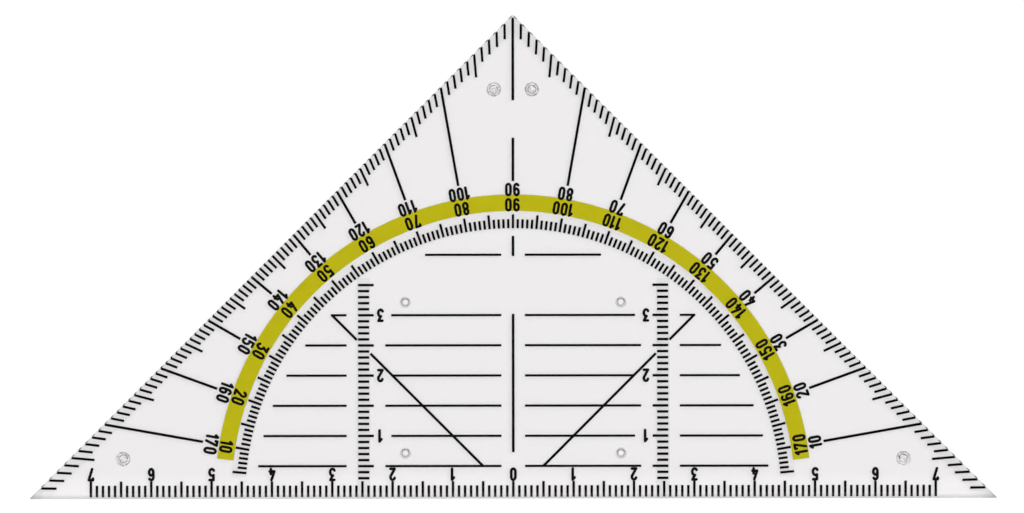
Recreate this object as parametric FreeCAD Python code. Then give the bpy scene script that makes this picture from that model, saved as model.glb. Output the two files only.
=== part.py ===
import FreeCAD, Part

import math
import os

# A clear moulded set square with a half-circle protractor, all sizes in millimetres.
# The ruling edge lies along X, the right angle points along +Y and the read side faces +Z.
# The origin is the foot of the ruling edge below its zero mark, at the level of the table.

# Plate
HYPOTENUSE = 160.3  # between the sharp corners, before they are rounded
PLATE_THICKNESS = 2.0
CORNER_RADIUS = 0.08
RULING_FACET_WIDTH = 0.95
RULING_FACET_DEPTH = 0.3
LEG_BEVEL_WIDTH = 0.15
LEG_BEVEL_DEPTH = 0.15

# Moulded feet that lift the print and the edges off the paper
FOOT_HEIGHT = 0.45
FOOT_FLAT_RADIUS = 0.22
FOOT_ROOT = 0.5  # how far a foot reaches up into the plate before they are joined
PLAIN_FOOT_RADIUS = 0.75
CORNER_DOME_RADIUS = 0.72
PAD_RADIUS = 1.1
PAD_RIM = 0.1
PAD_DROP = 0.1
APEX_FOOT_X = 3.15
APEX_FOOT_BELOW_APEX = 12.4
TIP_FOOT_FROM_TIP = 15.2
TIP_FOOT_Y = 6.25
INNER_FOOT_X = 17.85
INNER_FOOT_ABOVE_ROW = 2.15

# Printed ink
INK_THICKNESS = 0.04
PRINT_RISE = 0.35  # from the ruling edge up to the zero line of the print

# Millimetre scale along the ruling edge
MILLIMETRE = 1.0
MM_TICK_WIDTH = 0.42
MM_TICK_START = 0.08  # the facet's refraction brings this end down to the zero line
MM_TICK_SHORT = 1.8
MM_TICK_LONG = 2.5
SCALE_TO_TIP = 9.0

# Protractor, from the rays at the leg inwards to the clipped guide lines
TICK_WIDTH = 0.4
RAY_WIDTH = 0.43
SHORTEST_RAY = 4.23  # a ray's length where the leg is nearest to the zero mark
NUMERAL_RING = 2.8
BAND_WIDTH = 2.73
BAND_RISE = 0.6  # the band is printed this much above the other ink's centre
BAND_END_ANGLE = 6.6
BAND_TO_TICK = 0.03
ARC_TICK_LONG = 2.3
ARC_TICK_SHORT = 1.5
ARC_FIRST_DEGREE = 5
TICK_TO_GUIDE = 1.83

# Degree marks along the legs
LEG_TICK_INSET = 0.12
LEG_TICK_SHORT = 1.85
LEG_TICK_LONG = 2.95

# Parallel guide lines, centre line and diagonals
GUIDE_PITCH = 5.0
GUIDE_WIDTH = 0.38
DIAGONAL_WIDTH = 0.42
GUIDE_FROM_CENTRE = 1.95
GUIDE_TO_LADDER = 1.9
NUMERAL_ROOM = 1.0
BARE_ROW_COUNT = 1  # rows left out between the highest full row and the short one
CENTRE_WIDTH = 0.44
CENTRE_APEX_GAP = 0.5
CENTRE_APEX_LENGTH = 13.7
CENTRE_ARC_LENGTH = 7.2
CENTRE_OVERRUN = 0.2
CENTRE_START = 7.3
CENTRE_PAST_GUIDE = 0.55
DIAGONAL_GAP = 0.2

# Height scales beside the centre
LADDER_X = 25.7
LADDER_START = 3
LADDER_SHORT = 1.85
LADDER_LONG = 2.6
LADDER_TO_ARC = 0.9

# Levels and lengths that follow from the sizes above
UNDERSIDE = FOOT_HEIGHT
TOP = UNDERSIDE + PLATE_THICKNESS
HALF_EDGE = HYPOTENUSE / 2
LEG_SUM = HALF_EDGE - PRINT_RISE  # x + y on the leg, measured from the zero mark
LEG_REACH = LEG_SUM / math.sqrt(2)  # from the zero mark square to the leg
RAY_INNER_RADIUS = LEG_REACH - SHORTEST_RAY
BAND_OUTER_RADIUS = RAY_INNER_RADIUS - NUMERAL_RING
BAND_INNER_RADIUS = BAND_OUTER_RADIUS - BAND_WIDTH
BAND_END_RISE = BAND_RISE * math.sin(math.radians(BAND_END_ANGLE))
ARC_OUTER_RADIUS = BAND_INNER_RADIUS + BAND_END_RISE - BAND_TO_TICK
ARC_INNER_RADIUS = ARC_OUTER_RADIUS - ARC_TICK_LONG
GUIDE_RADIUS = ARC_INNER_RADIUS - TICK_TO_GUIDE
FULL_ROWS = int(GUIDE_RADIUS / math.sqrt(2) / GUIDE_PITCH)
TOP_ROW = FULL_ROWS * GUIDE_PITCH
SHORT_ROW = TOP_ROW + (BARE_ROW_COUNT + 1) * GUIDE_PITCH
LADDER_TOP = math.sqrt((ARC_INNER_RADIUS - LADDER_TO_ARC) ** 2 - LADDER_X**2)

SIDES = {"left": -1, "right": 1}


# Helpers for ink, drawn from the zero mark of the print

def plate_point(x, y):
    """A print coordinate as a point on the plate's underside."""
    return FreeCAD.Vector(x, y + PRINT_RISE, UNDERSIDE)


def on_ray(degrees, radius):
    """The print coordinate at this angle and distance from the zero mark."""
    angle = math.radians(degrees)
    return radius * math.cos(angle), radius * math.sin(angle)


def ink(wire):
    """A film of ink under the plate with this closed outline."""
    return Part.Face(wire).extrude(FreeCAD.Vector(0, 0, -INK_THICKNESS))


def stroke(start, end, width):
    """A straight printed line between two print coordinates, with square ends."""
    (x0, y0), (x1, y1) = start, end
    half = width / 2 / math.hypot(x1 - x0, y1 - y0)
    across_x, across_y = (y0 - y1) * half, (x1 - x0) * half
    corners = [
        plate_point(x0 + across_x, y0 + across_y),
        plate_point(x1 + across_x, y1 + across_y),
        plate_point(x1 - across_x, y1 - across_y),
        plate_point(x0 - across_x, y0 - across_y),
    ]
    return ink(Part.makePolygon(corners + corners[:1]))


def leg_radius(degrees, inset):
    """How far along a ray the line lies that runs parallel to the leg at this inset."""
    angle = math.radians(degrees)
    spread = abs(math.cos(angle)) + math.sin(angle)
    return (LEG_SUM - inset * math.sqrt(2)) / spread


def write(name, shape):
    shape.exportStep(f"parts/{name}.step")


# Clear moulded plate

def plate_blank():
    """The triangle with its three upright corners rounded."""
    corners = [
        FreeCAD.Vector(-HALF_EDGE, 0, UNDERSIDE),
        FreeCAD.Vector(HALF_EDGE, 0, UNDERSIDE),
        FreeCAD.Vector(0, HALF_EDGE, UNDERSIDE),
    ]
    outline = Part.makePolygon(corners + corners[:1])
    prism = Part.Face(outline).extrude(FreeCAD.Vector(0, 0, PLATE_THICKNESS))
    upright = [
        edge
        for edge in prism.Edges
        if abs(edge.Vertexes[0].Z - edge.Vertexes[1].Z) > PLATE_THICKNESS / 2
    ]
    return prism.makeFillet(CORNER_RADIUS, upright)


def edge_wedge(width, depth):
    """What is cut from the top of an edge that runs along X, with the plate on its +Y side."""
    reach = HYPOTENUSE
    profile = [
        FreeCAD.Vector(-reach, -width, TOP + depth),
        FreeCAD.Vector(-reach, -width, TOP - 2 * depth),
        FreeCAD.Vector(-reach, width, TOP),
        FreeCAD.Vector(-reach, width, TOP + depth),
    ]
    outline = Part.makePolygon(profile + profile[:1])
    return Part.Face(outline).extrude(FreeCAD.Vector(2 * reach, 0, 0))


def leg_wedge(side):
    """The bevel of one leg, turned and moved from the X axis onto that leg."""
    wedge = edge_wedge(LEG_BEVEL_WIDTH, LEG_BEVEL_DEPTH)
    wedge.rotate(FreeCAD.Vector(0, 0, 0), FreeCAD.Vector(0, 0, 1), side * 135)
    wedge.translate(FreeCAD.Vector(side * HALF_EDGE, 0, 0))
    return wedge


def section_point(radius, z):
    """A point of a foot's half section, before the foot is spun and moved."""
    return FreeCAD.Vector(radius, 0, z)


def spun(edges, x, y):
    """The round solid of a half section, with its axis at a print coordinate."""
    profile = Part.Face(Part.Wire(edges))
    solid = profile.revolve(FreeCAD.Vector(0, 0, 0), FreeCAD.Vector(0, 0, 1), 360)
    solid.translate(FreeCAD.Vector(x, y + PRINT_RISE, 0))
    return solid


def dome(x, y, base_radius, base_z):
    """A foot shaped as a cap of a ball, whose flat tip stands on the table."""
    ball_z = (base_radius**2 + base_z**2 - FOOT_FLAT_RADIUS**2) / (2 * base_z)
    ball_radius = math.hypot(FOOT_FLAT_RADIUS, ball_z)
    half_way = base_z / 2
    tip = section_point(0, 0)
    flat = section_point(FOOT_FLAT_RADIUS, 0)
    bulge = section_point(math.sqrt(ball_radius**2 - (ball_z - half_way) ** 2), half_way)
    base = section_point(base_radius, base_z)
    rim_top = section_point(base_radius, UNDERSIDE + FOOT_ROOT)
    axis_top = section_point(0, UNDERSIDE + FOOT_ROOT)
    edges = [
        Part.makeLine(tip, flat),
        Part.Arc(flat, bulge, base).toShape(),
        Part.makeLine(base, rim_top),
        Part.makeLine(rim_top, axis_top),
        Part.makeLine(axis_top, tip),
    ]
    return spun(edges, x, y)


def pad(x, y):
    """A low round step under a corner foot, with a sloping rim."""
    level = UNDERSIDE - PAD_DROP
    corners = [
        section_point(0, level),
        section_point(PAD_RADIUS - PAD_RIM, level),
        section_point(PAD_RADIUS, UNDERSIDE),
        section_point(PAD_RADIUS, UNDERSIDE + FOOT_ROOT),
        section_point(0, UNDERSIDE + FOOT_ROOT),
    ]
    return spun(Part.makePolygon(corners + corners[:1]).Edges, x, y)


def corner_foot(x, y):
    """A dome that stands on a pad."""
    return dome(x, y, CORNER_DOME_RADIUS, UNDERSIDE - PAD_DROP).fuse(pad(x, y))


def feet():
    """Two feet at the apex, one at each tip and four plain ones by the guide rows."""
    shapes = []
    for side in SIDES.values():
        shapes.append(corner_foot(side * APEX_FOOT_X, LEG_SUM - APEX_FOOT_BELOW_APEX))
        shapes.append(corner_foot(side * (LEG_SUM - TIP_FOOT_FROM_TIP), TIP_FOOT_Y))
        for row in (GUIDE_PITCH, TOP_ROW):
            y = row + INNER_FOOT_ABOVE_ROW
            shapes.append(dome(side * INNER_FOOT_X, y, PLAIN_FOOT_RADIUS, UNDERSIDE))
    return shapes


def clear_plate():
    plate = plate_blank().cut(edge_wedge(RULING_FACET_WIDTH, RULING_FACET_DEPTH))
    for side in SIDES.values():
        plate = plate.cut(leg_wedge(side))
    return plate.fuse(feet()).removeSplitter()


# Coloured band of the protractor

def protractor_band():
    """A half ring of coloured ink, shut at both ends along a ray from its own centre."""
    def at(degrees, radius):
        x, y = on_ray(degrees, radius)
        return plate_point(x, y + BAND_RISE)

    first, last, top = BAND_END_ANGLE, 180 - BAND_END_ANGLE, 90
    outer = Part.Arc(*(at(a, BAND_OUTER_RADIUS) for a in (first, top, last)))
    inner = Part.Arc(*(at(a, BAND_INNER_RADIUS) for a in (last, top, first)))
    return ink(Part.Wire([
        outer.toShape(),
        Part.makeLine(at(last, BAND_OUTER_RADIUS), at(last, BAND_INNER_RADIUS)),
        inner.toShape(),
        Part.makeLine(at(first, BAND_INNER_RADIUS), at(first, BAND_OUTER_RADIUS)),
    ]))


# Scales of separate marks

def millimetre_scale():
    """Marks to the left and right of zero, longer at every fifth."""
    last = int((LEG_SUM - SCALE_TO_TIP) / (10 * MILLIMETRE)) * 10
    marks = []
    for count in range(-last, last + 1):
        length = MM_TICK_LONG if count % 5 == 0 else MM_TICK_SHORT
        x = count * MILLIMETRE
        marks.append(stroke((x, MM_TICK_START), (x, length), MM_TICK_WIDTH))
    return Part.makeCompound(marks)


def arc_degree_scale():
    """Marks of the protractor's half circle, longer at every fifth degree."""
    marks = []
    for degrees in range(ARC_FIRST_DEGREE, 181 - ARC_FIRST_DEGREE):
        length = ARC_TICK_LONG if degrees % 5 == 0 else ARC_TICK_SHORT
        inner = on_ray(degrees, ARC_INNER_RADIUS)
        outer = on_ray(degrees, ARC_INNER_RADIUS + length)
        marks.append(stroke(inner, outer, TICK_WIDTH))
    return Part.makeCompound(marks)


def ray_angles(side):
    """Every tenth degree of one side, without the upright one."""
    return [90 - side * tens for tens in range(10, 90, 10)]


def leg_degree_scale(side):
    """Marks that point at zero and whose ends follow the leg, between the tens."""
    marks = []
    for off_axis in range(1, 90):
        if off_axis % 10 == 0:
            continue
        degrees = 90 - side * off_axis
        depth = LEG_TICK_LONG if off_axis % 5 == 0 else LEG_TICK_SHORT
        outer = on_ray(degrees, leg_radius(degrees, LEG_TICK_INSET))
        inner = on_ray(degrees, leg_radius(degrees, LEG_TICK_INSET + depth))
        marks.append(stroke(inner, outer, TICK_WIDTH))
    return Part.makeCompound(marks)


def ten_degree_rays(side):
    """Lines from the outer ring of numerals out to the leg."""
    marks = []
    for degrees in ray_angles(side):
        inner = on_ray(degrees, RAY_INNER_RADIUS)
        outer = on_ray(degrees, leg_radius(degrees, LEG_TICK_INSET))
        marks.append(stroke(inner, outer, RAY_WIDTH))
    return Part.makeCompound(marks)


# Lines inside the protractor

def centre_line():
    """The upright axis, broken where numerals and bare fields lie on it."""
    apex = LEG_SUM - CENTRE_APEX_GAP
    spans = [
        (apex - CENTRE_APEX_LENGTH, apex),
        (RAY_INNER_RADIUS, RAY_INNER_RADIUS + CENTRE_ARC_LENGTH),
        (SHORT_ROW - CENTRE_OVERRUN, GUIDE_RADIUS + CENTRE_PAST_GUIDE),
        (CENTRE_START, TOP_ROW + CENTRE_OVERRUN),
    ]
    return Part.makeCompound([stroke((0, low), (0, high), CENTRE_WIDTH) for low, high in spans])


def diagonal_line(side):
    """A 45 degree line from the lowest row to the highest, open where it meets the ladder."""
    ladder_inner = LADDER_X - LADDER_SHORT
    spans = [
        (GUIDE_PITCH, ladder_inner - DIAGONAL_GAP),
        (LADDER_X + DIAGONAL_GAP, TOP_ROW),
    ]
    return Part.makeCompound([
        stroke((side * low, low), (side * high, high), DIAGONAL_WIDTH) for low, high in spans
    ])


def guide_lines(side):
    """Rows parallel to the ruling edge, cut off by a circle and kept clear of the ladder."""
    inner_end = LADDER_X - LADDER_LONG - GUIDE_TO_LADDER
    outer_start = LADDER_X + GUIDE_TO_LADDER
    diagonal = diagonal_line(side)
    lines = []
    for count in [*range(1, FULL_ROWS + 1), FULL_ROWS + BARE_ROW_COUNT + 1]:
        y = count * GUIDE_PITCH
        clipped = math.sqrt(max(GUIDE_RADIUS**2 - y**2, 0))
        numeral_room = NUMERAL_ROOM if count % 2 == 0 else 0
        spans = [
            (GUIDE_FROM_CENTRE, min(inner_end - numeral_room, clipped)),
            (outer_start, clipped),
        ]
        for start, end in spans:
            if end > start:
                row = stroke((side * start, y), (side * end, y), GUIDE_WIDTH)
                pieces = row.cut(diagonal).Solids
                lines += [piece for piece in pieces if piece.BoundBox.XLength > GUIDE_WIDTH]
    return Part.makeCompound(lines)


def height_scale(side):
    """A ladder of marks up the side of the guide lines, longer at every fifth."""
    marks = []
    for count in range(LADDER_START, int(LADDER_TOP / MILLIMETRE) + 1):
        length = LADDER_LONG if count % 5 == 0 else LADDER_SHORT
        y = count * MILLIMETRE
        marks.append(stroke((side * (LADDER_X - length), y), (side * LADDER_X, y), MM_TICK_WIDTH))
    return Part.makeCompound(marks)


def main():
    os.makedirs("parts", exist_ok=True)
    write("clear_plate", clear_plate())
    write("protractor_band", protractor_band())
    write("millimetre_scale", millimetre_scale())
    write("arc_degree_scale", arc_degree_scale())
    write("centre_line", centre_line())
    for name, side in SIDES.items():
        write(f"{name}_leg_degree_scale", leg_degree_scale(side))
        write(f"{name}_ten_degree_rays", ten_degree_rays(side))
        write(f"{name}_guide_lines", guide_lines(side))
        write(f"{name}_diagonal_line", diagonal_line(side))
        write(f"{name}_height_scale", height_scale(side))


main()
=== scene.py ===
import math

import bpy
from mathutils import Matrix, Vector, geometry


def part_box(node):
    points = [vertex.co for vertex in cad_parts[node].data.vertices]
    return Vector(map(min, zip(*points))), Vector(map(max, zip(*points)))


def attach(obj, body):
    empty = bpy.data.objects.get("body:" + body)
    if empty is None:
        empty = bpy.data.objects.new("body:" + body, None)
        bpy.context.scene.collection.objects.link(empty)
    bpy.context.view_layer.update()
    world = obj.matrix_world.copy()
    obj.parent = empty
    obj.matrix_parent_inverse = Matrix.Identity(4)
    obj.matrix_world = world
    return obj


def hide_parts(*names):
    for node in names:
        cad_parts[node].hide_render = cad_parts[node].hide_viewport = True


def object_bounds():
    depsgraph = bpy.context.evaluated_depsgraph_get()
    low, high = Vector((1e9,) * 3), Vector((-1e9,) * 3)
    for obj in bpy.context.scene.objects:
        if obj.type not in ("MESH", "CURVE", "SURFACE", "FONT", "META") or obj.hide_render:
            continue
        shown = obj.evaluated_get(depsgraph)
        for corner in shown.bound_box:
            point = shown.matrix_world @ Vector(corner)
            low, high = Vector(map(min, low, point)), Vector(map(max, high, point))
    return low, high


MM = 0.001
HALF_EDGE = 80.15  # from the middle of the ruling edge to a sharp tip, in millimetres

# The photograph's framing, in millimetres from the zero mark of the print
FRAME_WIDTH = 169.8
LOOKS_AT_X = -0.165
LOOKS_AT_Y = 39.71
ROLL_DEGREES = -0.075
LENS = 200.0
SENSOR = 36.0

# Numerals, in millimetres
NUMERAL_HEIGHT = 2.27
DIGIT_WIDTH = 1.14
ONE_WIDTH = 0.76
DIGIT_GAP = 0.2
SCALE_STROKE = 0.45
DIAL_STROKE = 0.44
SCALE_NUMERAL_Y = 3.64
SCALE_START = 0.08  # the marks of the ruling edge start this far above the zero line
LADDER_NUMERALS = (1, 2, 3)
LADDER_NUMERAL_X = 22.0
OUTER_RING_RADIUS = 50.8
BAND_RING_RADIUS = 48.28
RING_SHIFT = 0.08  # the dial's numerals sit this much to the right of their rays
CENTIMETRE = 10
TOWARDS_RULING_EDGE = (0, -1)
DIAL_STEP_DEGREES = 10
ARC_STEP_DEGREES = 12
CAP_SIDES = 16
MERGE_DISTANCE = 1e-5

# Depths of the printed films against the plate's underside, in millimetres
NUMERAL_IN_PLATE = 0.012
NUMERAL_BELOW = 0.025
BAND_IN_PLATE = 0.006
BAND_BELOW = 0.04

# Coloured band, in millimetres and degrees
BAND_WIDTH = 2.73
BAND_END_ANGLE = 6.6
BAND_STEPS = 180

# Clear plastic
PLASTIC_COLOUR = (0.925, 0.907, 0.914)
REFRACTIVE_INDEX = 1.49
PLASTIC_SHADOW = 0.94  # share of the light that the plate lets through to the paper
# Painted glow: past this many mirrorings inside the plate, the plastic shows an even grey glow
LAST_MIRRORING = 2.5  # light mirrored more often than this inside the plate leaves it as an even grey
PAINTED_GLOW_GREY = (0.74, 0.73, 0.73, 1.0)
WAVE_SCALE = 60.0
GRAIN_SCALE = 2200.0
GRAIN_DEPTH = 0.02

# Moulded feet on both sides of the middle, in millimetres from the middle of the ruling edge
CORNER_FEET = ((3.15, 67.75), (64.6, 6.6))
INNER_FEET = ((17.85, 7.5), (17.85, 32.5))
FAR_FROM_FEET = 10.0
CORNER_FOOT_RADIUS = 1.15
CORNER_FOOT_RIM = (0.9, 1.3)
CORNER_FOOT_ROUGHNESS = 0.1
MATT_HEIGHT = 1.0  # the feet are matt up to this far above the underside
# Noise for the pits of the corner feet and for painted patches of shade in them
PIT_AND_SHADE_NOISE_SCALE = 2000.0
FOOT_PATCH_SHADE_RANGE = (0.42, 0.58)
FOOT_PATCH_PAINTED_SHADE = 0.6
PIT_RIM = (0.4, 1.0)
PIT_DEPTH = 25.0

# Zones of painted shade and painted light on the plastic, in millimetres, and the share of its colour
# kept there: painted shade between close marks, along the edges, at the tips and round the feet, and
# a painted paler strip over the ruling scale
ZONE_FADE = 0.2
# Painted shade in a band along each leg, darker on the right leg than the left, and a painted dark
# line on the leg's edge
LEG_ZONE = 2.6
LEG_ZONE_PAINTED_SHADE = 0.8
LEFT_LEG_PAINTED_SHADE = 0.95
RIGHT_LEG_PAINTED_SHADE = 0.9
MIDDLE_FADE = 10.0
LEG_EDGE = 0.15
LEG_EDGE_PAINTED_SHADE = 0.82
# Painted shade in the ring of degree marks, left out near the ruling edge
ARC_ZONE = (44.3, 46.8)
ARC_PAINTED_SHADE = 0.95
ARC_ZONE_FOOT = (3.5, 4.5)
# Painted shade between the marks of the height scales, fading out above their top
LADDER_ZONE = (23.8, 25.8)
LADDER_PAINTED_SHADE = 0.93
LADDER_ZONE_FADE = 1.0
# Painted shade darkening the plastic towards the ruling edge
RULING_EDGE = 1.0
RULING_EDGE_PAINTED_SHADE = 0.62
# Painted light: the plastic over the ruling scale's marks is made paler
SCALE_ZONE_TOP = (2.2, 4.4)
SCALE_PAINTED_LIGHT = 1.06
# Painted shade darkening the plastic towards both sharp tips
TIP_ZONE = (77.6, 79.4)
TIP_PAINTED_SHADE = 0.75
# Painted dark ring of shade round each inner foot
FOOT_RING = (0.5, 0.8)
FOOT_RING_PAINTED_SHADE = 0.65

# Inks
BLACK_THIN = (0.004, 0.004, 0.004)
BLACK_DENSE = (0.0015, 0.0015, 0.0015)
GREEN_THIN = (0.597, 0.552, 0.007)
GREEN_DENSE = (0.556, 0.51, 0.006)
CLOUD_SCALE = 500.0
CLOUD_SHARE = 0.6
SPECK_SCALE = 9000.0
SPECK_SHARE = 0.4
DENSE_BELOW = 0.35
THIN_ABOVE = 0.65
INK_ROUGHNESS = 0.4
INK_ROUGHNESS_SPREAD = 0.2

# Paper under the feet
FLOOR_HALF = 3.0  # half its width, in metres
FLOOR_COLOUR = (0.72, 0.72, 0.72, 1.0)
FLOOR_GLOW = 0.375

# Light of the room, where a height is the upward part of a direction, from nought to one
WHITE = (1.0, 1.0, 1.0, 1.0)
SOFT_LIGHT = 0.32
ROOM_PALE = (0.85, 0.85, 0.85)
ROOM_DARK = (0.03, 0.03, 0.03)
PALE_BELOW = 0.3
DARK_ABOVE = 0.8
QUARTER_HEIGHTS = (0.45, 0.7)
QUARTER_DARKNESS = -4.0  # less than nought, so the dark quarters lie on the ruling edge's side
NOT_NOUGHT = 0.0001  # keeps the quarters finite straight overhead
OVERHEAD_HEIGHT = 0.985
OVERHEAD_DARKNESS = 70.0

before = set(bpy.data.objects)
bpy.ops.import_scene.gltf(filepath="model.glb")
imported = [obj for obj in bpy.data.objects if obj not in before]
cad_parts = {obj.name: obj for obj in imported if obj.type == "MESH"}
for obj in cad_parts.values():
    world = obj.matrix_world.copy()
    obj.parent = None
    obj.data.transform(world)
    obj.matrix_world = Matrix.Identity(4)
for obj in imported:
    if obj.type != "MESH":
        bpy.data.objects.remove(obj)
cad_low, cad_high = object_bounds()

# Places read from the frame, in metres
scale_low, scale_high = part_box("millimetre_scale")
ladder_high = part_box("left_height_scale")[1]
band_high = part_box("protractor_band")[1]
ZERO_Y = scale_low.y - SCALE_START * MM
UNDERSIDE = scale_high.z


# Node helpers

def new_material(name):
    """A material with an empty node tree and its output."""
    material = bpy.data.materials.new(name)
    material.use_nodes = True
    tree = material.node_tree
    tree.nodes.clear()
    return material, tree, tree.nodes.new("ShaderNodeOutputMaterial")


def add(tree, kind, **settings):
    """A node of this kind with its properties and input values set."""
    node = tree.nodes.new("ShaderNode" + kind)
    for name, value in settings.items():
        if hasattr(node, name):
            setattr(node, name, value)
        else:
            node.inputs[name.replace("_", " ")].default_value = value
    return node


def maths(tree, operation, first, second):
    """The result of a sum, where each side is a socket or a number."""
    node = tree.nodes.new("ShaderNodeMath")
    node.operation = operation
    for socket, value in zip(node.inputs, (first, second)):
        if isinstance(value, (int, float)):
            socket.default_value = value
        else:
            tree.links.new(value, socket)
    return node.outputs[0]


def product(tree, values):
    """The product of several sockets or numbers."""
    result = values[0]
    for value in values[1:]:
        result = maths(tree, "MULTIPLY", result, value)
    return result


def length(tree, x, y):
    """The length of a flat vector with these two parts."""
    squares = maths(tree, "ADD", maths(tree, "MULTIPLY", x, x), maths(tree, "MULTIPLY", y, y))
    return maths(tree, "SQRT", squares, 0.0)


def fade(tree, value, start, end, before, after):
    """A number that goes from one level to another while the value goes from start to end."""
    node = add(tree, "MapRange", From_Min=start, From_Max=end, To_Min=before, To_Max=after)
    tree.links.new(value, node.inputs["Value"])
    return node.outputs["Result"]


def noise(tree, vector, scale, detail=3.0):
    """Cloudy noise between nought and one."""
    node = add(tree, "TexNoise", Scale=scale, Detail=detail)
    tree.links.new(vector, node.inputs["Vector"])
    return node.outputs["Fac"]


def mix_shaders(tree, share, first, second):
    """A shader that goes from the first to the second as the share goes from nought to one."""
    node = add(tree, "MixShader")
    tree.links.new(share, node.inputs[0])
    tree.links.new(first, node.inputs[1])
    tree.links.new(second, node.inputs[2])
    return node.outputs[0]


def parts(tree, vector):
    """The three parts of a vector."""
    split = add(tree, "SeparateXYZ")
    tree.links.new(vector, split.inputs[0])
    return [split.outputs[axis] for axis in "XYZ"]


def ramp(tree, factor, stops):
    """A colour ramp through (position, colour) stops."""
    node = tree.nodes.new("ShaderNodeValToRGB")
    elements = node.color_ramp.elements
    while len(elements) < len(stops):
        elements.new(1.0)
    for element, (position, colour) in zip(elements, stops):
        element.position = position
        element.color = (*colour, 1.0)
    tree.links.new(factor, node.inputs["Fac"])
    return node.outputs["Color"]


# Materials

def from_foot_axis(tree, feet, along, y):
    """The distance in millimetres to the axis of the nearest of these feet."""
    nearest = FAR_FROM_FEET
    for foot_x, foot_y in feet:
        across = maths(tree, "SUBTRACT", along, foot_x)
        up = maths(tree, "SUBTRACT", y, foot_y)
        nearest = maths(tree, "MINIMUM", length(tree, across, up), nearest)
    return nearest


def zone(tree, value, limits, level):
    """This level where the value lies within the limits, and one elsewhere, with soft ends."""
    start, end = limits
    going_in = fade(tree, value, start - ZONE_FADE, start, 1.0, level)
    going_out = fade(tree, value, end, end + ZONE_FADE, level, 1.0)
    return maths(tree, "MAXIMUM", going_in, going_out)


def leg_shade(tree, x, along, y):
    """Painted shade between the marks of each leg, darker on the right leg, and a painted dark line
    on the edge itself.
    """
    to_leg = maths(tree, "SUBTRACT", HALF_EDGE, maths(tree, "ADD", along, y))
    to_leg = maths(tree, "MULTIPLY", to_leg, math.sqrt(0.5))
    # Painted shade, darker on the right leg than on the left
    level = fade(tree, x, -MIDDLE_FADE, MIDDLE_FADE, LEFT_LEG_PAINTED_SHADE, RIGHT_LEG_PAINTED_SHADE)
    painted_leg_band = maths(tree, "MAXIMUM", fade(tree, to_leg, 0.0, LEG_ZONE, LEG_ZONE_PAINTED_SHADE, 1.0), level)
    # A painted dark line of shade right on the leg's edge
    edge = fade(tree, to_leg, 0.0, LEG_EDGE, LEG_EDGE_PAINTED_SHADE, 1.0)
    return maths(tree, "MULTIPLY", painted_leg_band, edge)


def plastic_shade(tree, x, along, y, from_foot, pit_and_shade_noise):
    """Painted shade and painted light that scale the plastic's colour: darker between close marks,
    along its edges, at its tips and in its feet, paler over the ruling scale.
    """
    from_zero = length(tree, along, maths(tree, "SUBTRACT", y, ZERO_Y / MM))
    under_arc = fade(tree, y, *ARC_ZONE_FOOT, 1.0, 0.0)
    ladder_top = ladder_high.y / MM
    over_ladder = fade(tree, y, ladder_top, ladder_top + LADDER_ZONE_FADE, 0.0, 1.0)
    around_foot = fade(tree, from_foot, *CORNER_FOOT_RIM, 0.0, 1.0)
    # Painted dark patches of shade inside the corner feet
    painted_foot_patches = fade(tree, pit_and_shade_noise, *FOOT_PATCH_SHADE_RANGE, FOOT_PATCH_PAINTED_SHADE, 1.0)
    # Painted shade zone by zone, and painted light over the ruling scale
    return product(tree, [
        leg_shade(tree, x, along, y),
        maths(tree, "MAXIMUM", zone(tree, from_zero, ARC_ZONE, ARC_PAINTED_SHADE), under_arc),
        maths(tree, "MAXIMUM", zone(tree, along, LADDER_ZONE, LADDER_PAINTED_SHADE), over_ladder),
        fade(tree, y, 0.0, RULING_EDGE, RULING_EDGE_PAINTED_SHADE, 1.0),
        fade(tree, y, *SCALE_ZONE_TOP, SCALE_PAINTED_LIGHT, 1.0),
        fade(tree, along, *TIP_ZONE, 1.0, TIP_PAINTED_SHADE),
        zone(tree, from_foot_axis(tree, INNER_FEET, along, y), FOOT_RING, FOOT_RING_PAINTED_SHADE),
        maths(tree, "MAXIMUM", around_foot, painted_foot_patches),
    ])


def plastic_bump(tree, coordinates, pits):
    """A faint waviness and grain over the whole plate, and pits in the corner feet."""
    waves = noise(tree, coordinates, WAVE_SCALE)
    grain = maths(tree, "MULTIPLY", noise(tree, coordinates, GRAIN_SCALE, detail=2.0), GRAIN_DEPTH)
    height = maths(tree, "ADD", maths(tree, "ADD", waves, grain), pits)
    bump = add(tree, "Bump", Strength=0.05, Distance=0.0004)
    tree.links.new(height, bump.inputs["Height"])
    return bump.outputs[0]


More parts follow.
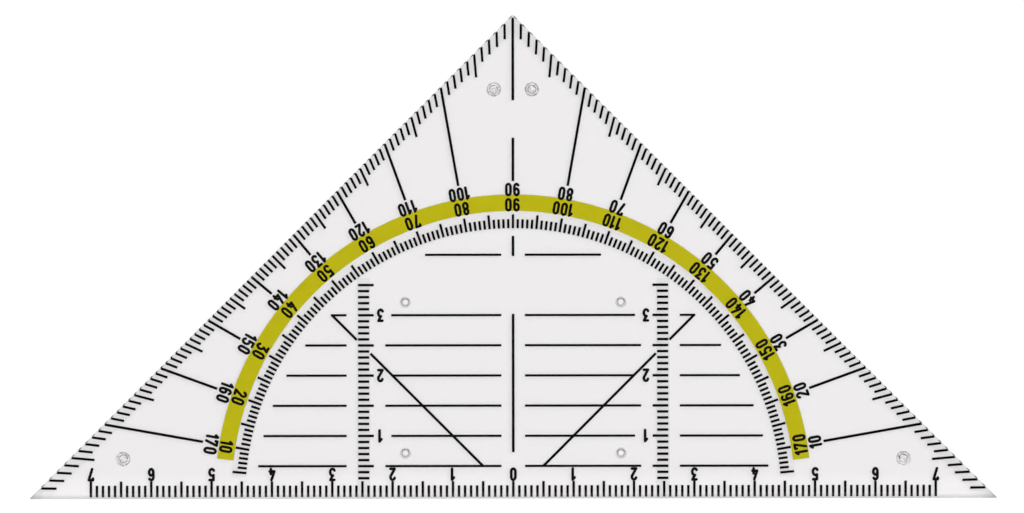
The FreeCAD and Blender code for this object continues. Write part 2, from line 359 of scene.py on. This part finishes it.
def clear_plastic():
    """Polished clear plastic that lets lamps through, with painted shade greying it towards its
    edges.
    """
    material, tree, output = new_material("clear_plastic")
    coordinates = add(tree, "TexCoord").outputs["Object"]
    in_millimetres = add(tree, "VectorMath", operation="SCALE", Scale=1 / MM)
    tree.links.new(coordinates, in_millimetres.inputs[0])
    x, y, z = parts(tree, in_millimetres.outputs[0])
    along = maths(tree, "ABSOLUTE", x, 0.0)
    from_foot = from_foot_axis(tree, CORNER_FEET, along, y)
    below = maths(tree, "LESS_THAN", z, UNDERSIDE / MM + MATT_HEIGHT)
    pit_and_shade_noise = noise(tree, coordinates, PIT_AND_SHADE_NOISE_SCALE, detail=0.0)

    # The plastic's colour scaled by the painted shade and painted light
    painted_shade_colour = add(tree, "VectorMath", operation="SCALE")
    painted_shade_colour.inputs[0].default_value = PLASTIC_COLOUR
    tree.links.new(plastic_shade(tree, x, along, y, from_foot, pit_and_shade_noise), painted_shade_colour.inputs["Scale"])
    in_foot = maths(tree, "LESS_THAN", from_foot, CORNER_FOOT_RADIUS)
    roughness = product(tree, [in_foot, below, CORNER_FOOT_ROUGHNESS])
    pits = product(tree, [pit_and_shade_noise, fade(tree, from_foot, *PIT_RIM, PIT_DEPTH, 0.0), below])

    glass = add(tree, "BsdfPrincipled", IOR=REFRACTIVE_INDEX, Transmission_Weight=1.0)
    tree.links.new(roughness, glass.inputs["Roughness"])
    tree.links.new(painted_shade_colour.outputs[0], glass.inputs["Base Color"])
    tree.links.new(plastic_bump(tree, coordinates, pits), glass.inputs["Normal"])
    window_colour = (PLASTIC_SHADOW, PLASTIC_SHADOW, PLASTIC_SHADOW, 1.0)
    window = add(tree, "BsdfTransparent", Color=window_colour)
    # A painted glow of even grey, shown where light has been mirrored many times inside the plate
    painted_glow = add(tree, "Emission", Color=PAINTED_GLOW_GREY, Strength=1.0)

    path = add(tree, "LightPath").outputs
    through = maths(tree, "MAXIMUM", path["Is Shadow Ray"], path["Is Diffuse Ray"])
    lit = mix_shaders(tree, through, glass.outputs[0], window.outputs[0])
    often = maths(tree, "GREATER_THAN", path["Glossy Depth"], LAST_MIRRORING)
    tree.links.new(mix_shaders(tree, often, lit, painted_glow.outputs[0]), output.inputs[0])
    return material


def printed_ink(name, thin, dense):
    """Opaque printing ink whose density varies a little over the film."""
    material, tree, output = new_material(name)
    coordinates = add(tree, "TexCoord").outputs["Object"]
    cloud = noise(tree, coordinates, CLOUD_SCALE)
    specks = noise(tree, coordinates, SPECK_SCALE, detail=2.0)
    broad = maths(tree, "MULTIPLY", cloud, CLOUD_SHARE)
    small = maths(tree, "MULTIPLY", specks, SPECK_SHARE)
    density = maths(tree, "ADD", broad, small)
    colour = ramp(tree, density, [(DENSE_BELOW, dense), (THIN_ABOVE, thin)])
    spread = maths(tree, "MULTIPLY", specks, INK_ROUGHNESS_SPREAD)
    roughness = maths(tree, "ADD", spread, INK_ROUGHNESS)
    bump = add(tree, "Bump", Strength=0.15, Distance=0.00001)
    tree.links.new(specks, bump.inputs["Height"])
    ink = add(tree, "BsdfPrincipled", Specular_IOR_Level=0.1)
    tree.links.new(colour, ink.inputs["Base Color"])
    tree.links.new(roughness, ink.inputs["Roughness"])
    tree.links.new(bump.outputs[0], ink.inputs["Normal"])
    tree.links.new(ink.outputs[0], output.inputs[0])
    return material


def floor_paper():
    """Pale paper that reads as white and keeps the shadow that falls on it."""
    material, tree, output = new_material("floor_paper")
    diffuse = add(tree, "BsdfDiffuse", Color=FLOOR_COLOUR)
    glow = add(tree, "Emission", Color=WHITE)
    path = add(tree, "LightPath").outputs
    seen = maths(tree, "MAXIMUM", path["Is Camera Ray"], path["Is Glossy Ray"])
    seen = maths(tree, "MAXIMUM", seen, path["Is Transmission Ray"])
    tree.links.new(maths(tree, "MULTIPLY", seen, FLOOR_GLOW), glow.inputs["Strength"])
    both = add(tree, "AddShader")
    tree.links.new(diffuse.outputs[0], both.inputs[0])
    tree.links.new(glow.outputs[0], both.inputs[1])
    tree.links.new(both.outputs[0], output.inputs[0])
    return material


# Numerals, drawn as strokes in a box whose corner is the origin, in millimetres

def arc(centre_x, centre_y, radius_x, radius_y, start, end):
    """Points along part of an ellipse, from the start angle to the end angle in degrees."""
    points = []
    steps = round(abs(end - start) / ARC_STEP_DEGREES)
    for step in range(steps + 1):
        angle = math.radians(start + (end - start) * step / steps)
        points.append((centre_x + radius_x * math.cos(angle), centre_y + radius_y * math.sin(angle)))
    return points


def loop(centre_x, centre_y, radius_x, radius_y):
    """Points round a whole ellipse."""
    return arc(centre_x, centre_y, radius_x, radius_y, 0, 360)


def digit_strokes(digit, w, h):
    """The smooth pen strokes of one digit in a box w wide and h high."""
    r = w / 2
    six = [
        loop(r, 0.29 * h, r, 0.29 * h),
        [(0, 0.29 * h), (0, 0.74 * h)] + arc(r, 0.74 * h, r, 0.26 * h, 180, 35),
    ]
    bowl = arc(0.44 * w, 0.3 * h, 0.56 * w, 0.3 * h, 100, -148)
    zero = arc(r, 0.74 * h, r, 0.26 * h, 0, 180) + arc(r, 0.26 * h, r, 0.26 * h, 180, 360)
    zero.append((w, 0.74 * h))
    shapes = {
        "0": [zero],
        "1": [[(w, 0), (w, h)], [(w, h), (0, 0.8 * h)], [(w, 0.86 * h), (0, 0.8 * h)]],
        "2": [arc(r, 0.76 * h, r, 0.24 * h, 165, -25) + [(0, 0)], [(0, 0), (w, 0)]],
        "3": [[(0, h), (0.95 * w, h)], [(0.95 * w, h), (0.38 * w, 0.6 * h)], bowl],
        "4": [
            [(0.6 * w, h), (-0.08 * w, 0.22 * h)],
            [(-0.08 * w, 0.22 * h), (1.04 * w, 0.22 * h)],
            [(0.76 * w, 0.46 * h), (0.76 * w, 0)],
        ],
        "5": [[(0.05 * w, h), (0.95 * w, h)], [(0.05 * w, h), (0.05 * w, 0.55 * h)], bowl],
        "6": six,
        "7": [[(0, 0.86 * h), (0, h)], [(0, h), (w, h)], [(w, h), (0.2 * w, 0)]],
        "8": [loop(r, 0.76 * h, 0.9 * r, 0.24 * h), loop(r, 0.26 * h, r, 0.27 * h)],
        "9": [[(w - x, h - y) for x, y in stroke] for stroke in six],
    }
    return shapes[digit]


def ribbon(points, width):
    """Quads along a smooth stroke, and a round cap at each end."""
    half = width / 2
    sides = []
    for index, (x, y) in enumerate(points):
        before = points[max(index - 1, 0)]
        after = points[min(index + 1, len(points) - 1)]
        run = Vector((after[0] - before[0], after[1] - before[1])).normalized()
        across = Vector((-run.y, run.x)) * half
        sides.append((Vector((x, y)) + across, Vector((x, y)) - across))
    quads = [[a[0], a[1], b[1], b[0]] for a, b in zip(sides, sides[1:])]
    caps = []
    for x, y in (points[0], points[-1]):
        turns = [math.tau * step / CAP_SIDES for step in range(CAP_SIDES)]
        caps.append([Vector((x + half * math.cos(t), y + half * math.sin(t))) for t in turns])
    return quads + caps


def flat_union(polygons):
    """The corners and triangles of everything that these flat polygons cover."""
    corners, faces = [], []
    for polygon in polygons:
        faces.append(list(range(len(corners), len(corners) + len(polygon))))
        corners += polygon
    cover_all = 0
    made = geometry.delaunay_2d_cdt(corners, [], faces, cover_all, MERGE_DISTANCE)
    points, triangles, sources = made[0], made[2], made[5]
    return points, [t for t, source in zip(triangles, sources) if source]


def digit_shape(digit, stroke):
    """One digit as flat triangles, its outer corner at the origin, and its outer width."""
    outer_width = ONE_WIDTH if digit == "1" else DIGIT_WIDTH
    w, h = outer_width - stroke, NUMERAL_HEIGHT - stroke
    polygons = []
    for points in digit_strokes(digit, w, h):
        moved = [(x + stroke / 2, y + stroke / 2) for x, y in points]
        polygons += ribbon(moved, stroke)
    points, triangles = flat_union(polygons)
    return points, triangles, outer_width


class Film:
    """A thin film of ink that is gathered from flat shapes and then made into one mesh."""

    def __init__(self, name, top, bottom, slot, material):
        self.name = name
        self.slot = slot
        self.material = material
        self.levels = (UNDERSIDE + top * MM, UNDERSIDE - bottom * MM)
        self.corners = []
        self.faces = []

    def add(self, points, triangles):
        """Adds flat triangles at both levels and walls round their open edges."""
        start = len(self.corners)
        count = len(points)
        for level in self.levels:
            self.corners += [(x * MM, y * MM + ZERO_Y, level) for x, y in points]
        open_edges = set()
        for triangle in triangles:
            self.faces.append([start + i for i in triangle])
            self.faces.append([start + count + i for i in reversed(triangle)])
            for a, b in zip(triangle, triangle[1:] + triangle[:1]):
                if (b, a) in open_edges:
                    open_edges.remove((b, a))
                else:
                    open_edges.add((a, b))
        for a, b in open_edges:
            self.faces.append([start + b, start + a, start + count + a, start + count + b])

    def finish(self):
        """Makes the mesh, which rides on the one body."""
        mesh = bpy.data.meshes.new(self.name)
        mesh.from_pydata(self.corners, [], self.faces)
        mesh.validate()
        mesh.materials.append(self.material)
        piece = bpy.data.objects.new(self.name, mesh)
        bpy.context.scene.collection.objects.link(piece)
        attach(piece, "root")
        return piece


def write_number(film, number, centre, up, stroke):
    """Adds a number to a film, centred on a print coordinate, with its top towards up."""
    shapes = [digit_shape(digit, stroke) for digit in str(number)]
    total = sum(width for _, _, width in shapes) + DIGIT_GAP * (len(shapes) - 1)
    up = Vector(up).normalized()
    right = Vector((up.y, -up.x))
    pen = -total / 2
    for points, triangles, width in shapes:
        placed = []
        for point in points:
            along, high = pen + point.x, point.y - NUMERAL_HEIGHT / 2
            placed.append(Vector(centre) + right * along + up * high)
        film.add(placed, [list(t) for t in triangles])
        pen += width + DIGIT_GAP


def on_ray(degrees, radius):
    """The print coordinate at this angle and distance from the zero mark."""
    angle = math.radians(degrees)
    return Vector((math.cos(angle), math.sin(angle))) * radius


def millimetre_numerals(ink):
    """Centimetre numbers over the long marks of the ruling edge."""
    film = Film("millimetre_numerals", NUMERAL_IN_PLATE, NUMERAL_BELOW, "black_ink", ink)
    last = round((scale_high.x - scale_low.x) / 2 / MM) // CENTIMETRE
    for number in range(-last, last + 1):
        centre = (number * CENTIMETRE, SCALE_NUMERAL_Y)
        write_number(film, abs(number), centre, TOWARDS_RULING_EDGE, SCALE_STROKE)
    return film.finish()


def ladder_numerals(side_name, side, ink):
    """Centimetre numbers beside one height scale."""
    film = Film(f"{side_name}_height_numerals", NUMERAL_IN_PLATE, NUMERAL_BELOW, "black_ink", ink)
    for number in LADDER_NUMERALS:
        centre = (side * LADDER_NUMERAL_X, number * CENTIMETRE)
        write_number(film, number, centre, TOWARDS_RULING_EDGE, SCALE_STROKE)
    return film.finish()


def dial_numerals(name, radius, label, ink):
    """A ring of numbers whose tops point at the zero mark."""
    film = Film(name, NUMERAL_IN_PLATE, NUMERAL_BELOW, "black_ink", ink)
    for degrees in range(DIAL_STEP_DEGREES, 180, DIAL_STEP_DEGREES):
        inwards = -on_ray(degrees, 1.0)
        right = Vector((inwards.y, -inwards.x))
        centre = on_ray(degrees, radius) + right * RING_SHIFT
        write_number(film, label(degrees), centre, inwards, DIAL_STROKE)
    return film.finish()


def coloured_band(ink):
    """The band, set a hair into the plate it is printed on."""
    outer = band_high.x / MM / math.cos(math.radians(BAND_END_ANGLE))
    rise = (band_high.y - ZERO_Y) / MM - outer
    inner = outer - BAND_WIDTH
    film = Film("printed_band", BAND_IN_PLATE, BAND_BELOW, "green_ink", ink)
    points, triangles = [], []
    for step in range(BAND_STEPS + 1):
        degrees = BAND_END_ANGLE + (180 - 2 * BAND_END_ANGLE) * step / BAND_STEPS
        for radius in (inner, outer):
            points.append(on_ray(degrees, radius) + Vector((0, rise)))
    for step in range(BAND_STEPS):
        a, b, c, d = (2 * step + i for i in range(4))
        triangles += [[a, b, d], [a, d, c]]
    film.add(points, triangles)
    piece = film.finish()
    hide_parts("protractor_band")
    return piece


# Stage, light and camera

def make_floor():
    """A square of paper under the feet."""
    half = FLOOR_HALF
    mesh = bpy.data.meshes.new("floor")
    corners = [(-half, -half, 0), (half, -half, 0), (half, half, 0), (-half, half, 0)]
    mesh.from_pydata(corners, [], [(0, 1, 2, 3)])
    mesh.materials.append(floor_paper())
    floor = bpy.data.objects.new("floor", mesh)
    bpy.context.scene.collection.objects.link(floor)


def mirrored_room(tree):
    """What polished plastic mirrors: a pale room, dark straight overhead and in two quarters."""
    x, y, z = parts(tree, add(tree, "TexCoord").outputs["Generated"])
    flat = maths(tree, "ADD", maths(tree, "MULTIPLY", x, x), maths(tree, "MULTIPLY", y, y))
    across = maths(tree, "MULTIPLY", maths(tree, "ABSOLUTE", x, 0.0), y)
    quarter = maths(tree, "MULTIPLY", across, QUARTER_DARKNESS)
    quarter = maths(tree, "DIVIDE", quarter, maths(tree, "ADD", flat, NOT_NOUGHT))
    quarter = maths(tree, "MULTIPLY", quarter, fade(tree, z, *QUARTER_HEIGHTS, 0.0, 1.0))
    overhead = maths(tree, "MULTIPLY", maths(tree, "SUBTRACT", z, OVERHEAD_HEIGHT), OVERHEAD_DARKNESS)
    dark = maths(tree, "MAXIMUM", quarter, overhead)
    colour = ramp(tree, dark, [(PALE_BELOW, ROOM_PALE), (DARK_ABOVE, ROOM_DARK)])
    room = add(tree, "Background", Strength=1.0)
    tree.links.new(colour, room.inputs["Color"])
    return room.outputs[0]


def make_world():
    """White where it is seen, soft light on the object, and the room where it is mirrored."""
    world = bpy.data.worlds.new("studio")
    bpy.context.scene.world = world
    world.use_nodes = True
    tree = world.node_tree
    tree.nodes.clear()
    output = tree.nodes.new("ShaderNodeOutputWorld")
    path = add(tree, "LightPath").outputs
    soft = add(tree, "Background", Color=WHITE, Strength=SOFT_LIGHT)
    white = add(tree, "Background", Color=WHITE, Strength=1.0)
    mirrored = maths(tree, "MAXIMUM", path["Is Glossy Ray"], path["Is Transmission Ray"])
    by_mirror = mix_shaders(tree, mirrored, soft.outputs[0], mirrored_room(tree))
    by_sight = mix_shaders(tree, path["Is Camera Ray"], by_mirror, white.outputs[0])
    tree.links.new(by_sight, output.inputs[0])


def make_lamp(name, place, size, power):
    """A square soft lamp aimed at the middle of the plate."""
    light = bpy.data.lights.new(name, "AREA")
    light.shape = "SQUARE"
    light.size = size
    light.energy = power
    lamp = bpy.data.objects.new(name, light)
    bpy.context.scene.collection.objects.link(lamp)
    target = (cad_low + cad_high) / 2
    lamp.location = Vector(place)
    lamp.visible_glossy = False
    lamp.visible_transmission = False
    lamp.rotation_mode = "QUATERNION"
    lamp.rotation_quaternion = (target - lamp.location).to_track_quat("-Z", "Y")


def make_camera():
    """A long lens straight above the print."""
    data = bpy.data.cameras.new("camera")
    data.lens = LENS
    data.sensor_width = SENSOR
    data.clip_start = 0.01
    data.clip_end = 20.0
    camera = bpy.data.objects.new("camera", data)
    bpy.context.scene.collection.objects.link(camera)
    distance = FRAME_WIDTH * MM * LENS / SENSOR
    place = (LOOKS_AT_X * MM, LOOKS_AT_Y * MM + ZERO_Y, UNDERSIDE + distance)
    roll = Matrix.Rotation(math.radians(ROLL_DEGREES), 4, "Z")
    camera.matrix_world = Matrix.Translation(place) @ roll
    bpy.context.scene.camera = camera


# The object

def dress_frame(plastic, black):
    """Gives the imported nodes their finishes."""
    for name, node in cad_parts.items():
        if name == "protractor_band":
            continue
        if name == "clear_plate":
            material, slot = plastic, "clear_plastic"
        else:
            material, slot = black, "black_ink"
        for material_slot in node.material_slots:
            material_slot.link = "OBJECT"
            material_slot.material = material


plastic = clear_plastic()
black = printed_ink("black_ink", BLACK_THIN, BLACK_DENSE)
green = printed_ink("green_ink", GREEN_THIN, GREEN_DENSE)
dress_frame(plastic, black)
coloured_band(green)
millimetre_numerals(black)
ladder_numerals("left", -1, black)
ladder_numerals("right", 1, black)
dial_numerals("outer_dial_numerals", OUTER_RING_RADIUS, lambda degrees: degrees, black)
dial_numerals("band_dial_numerals", BAND_RING_RADIUS, lambda degrees: 180 - degrees, black)

make_floor()
make_world()
make_lamp("key", place=(-0.2, -0.1, 1.6), size=0.7, power=13.5)
make_lamp("fill", place=(1.0, 0.7, 1.1), size=1.2, power=8.0)
make_camera()
bpy.context.scene.view_settings.view_transform = "Standard"
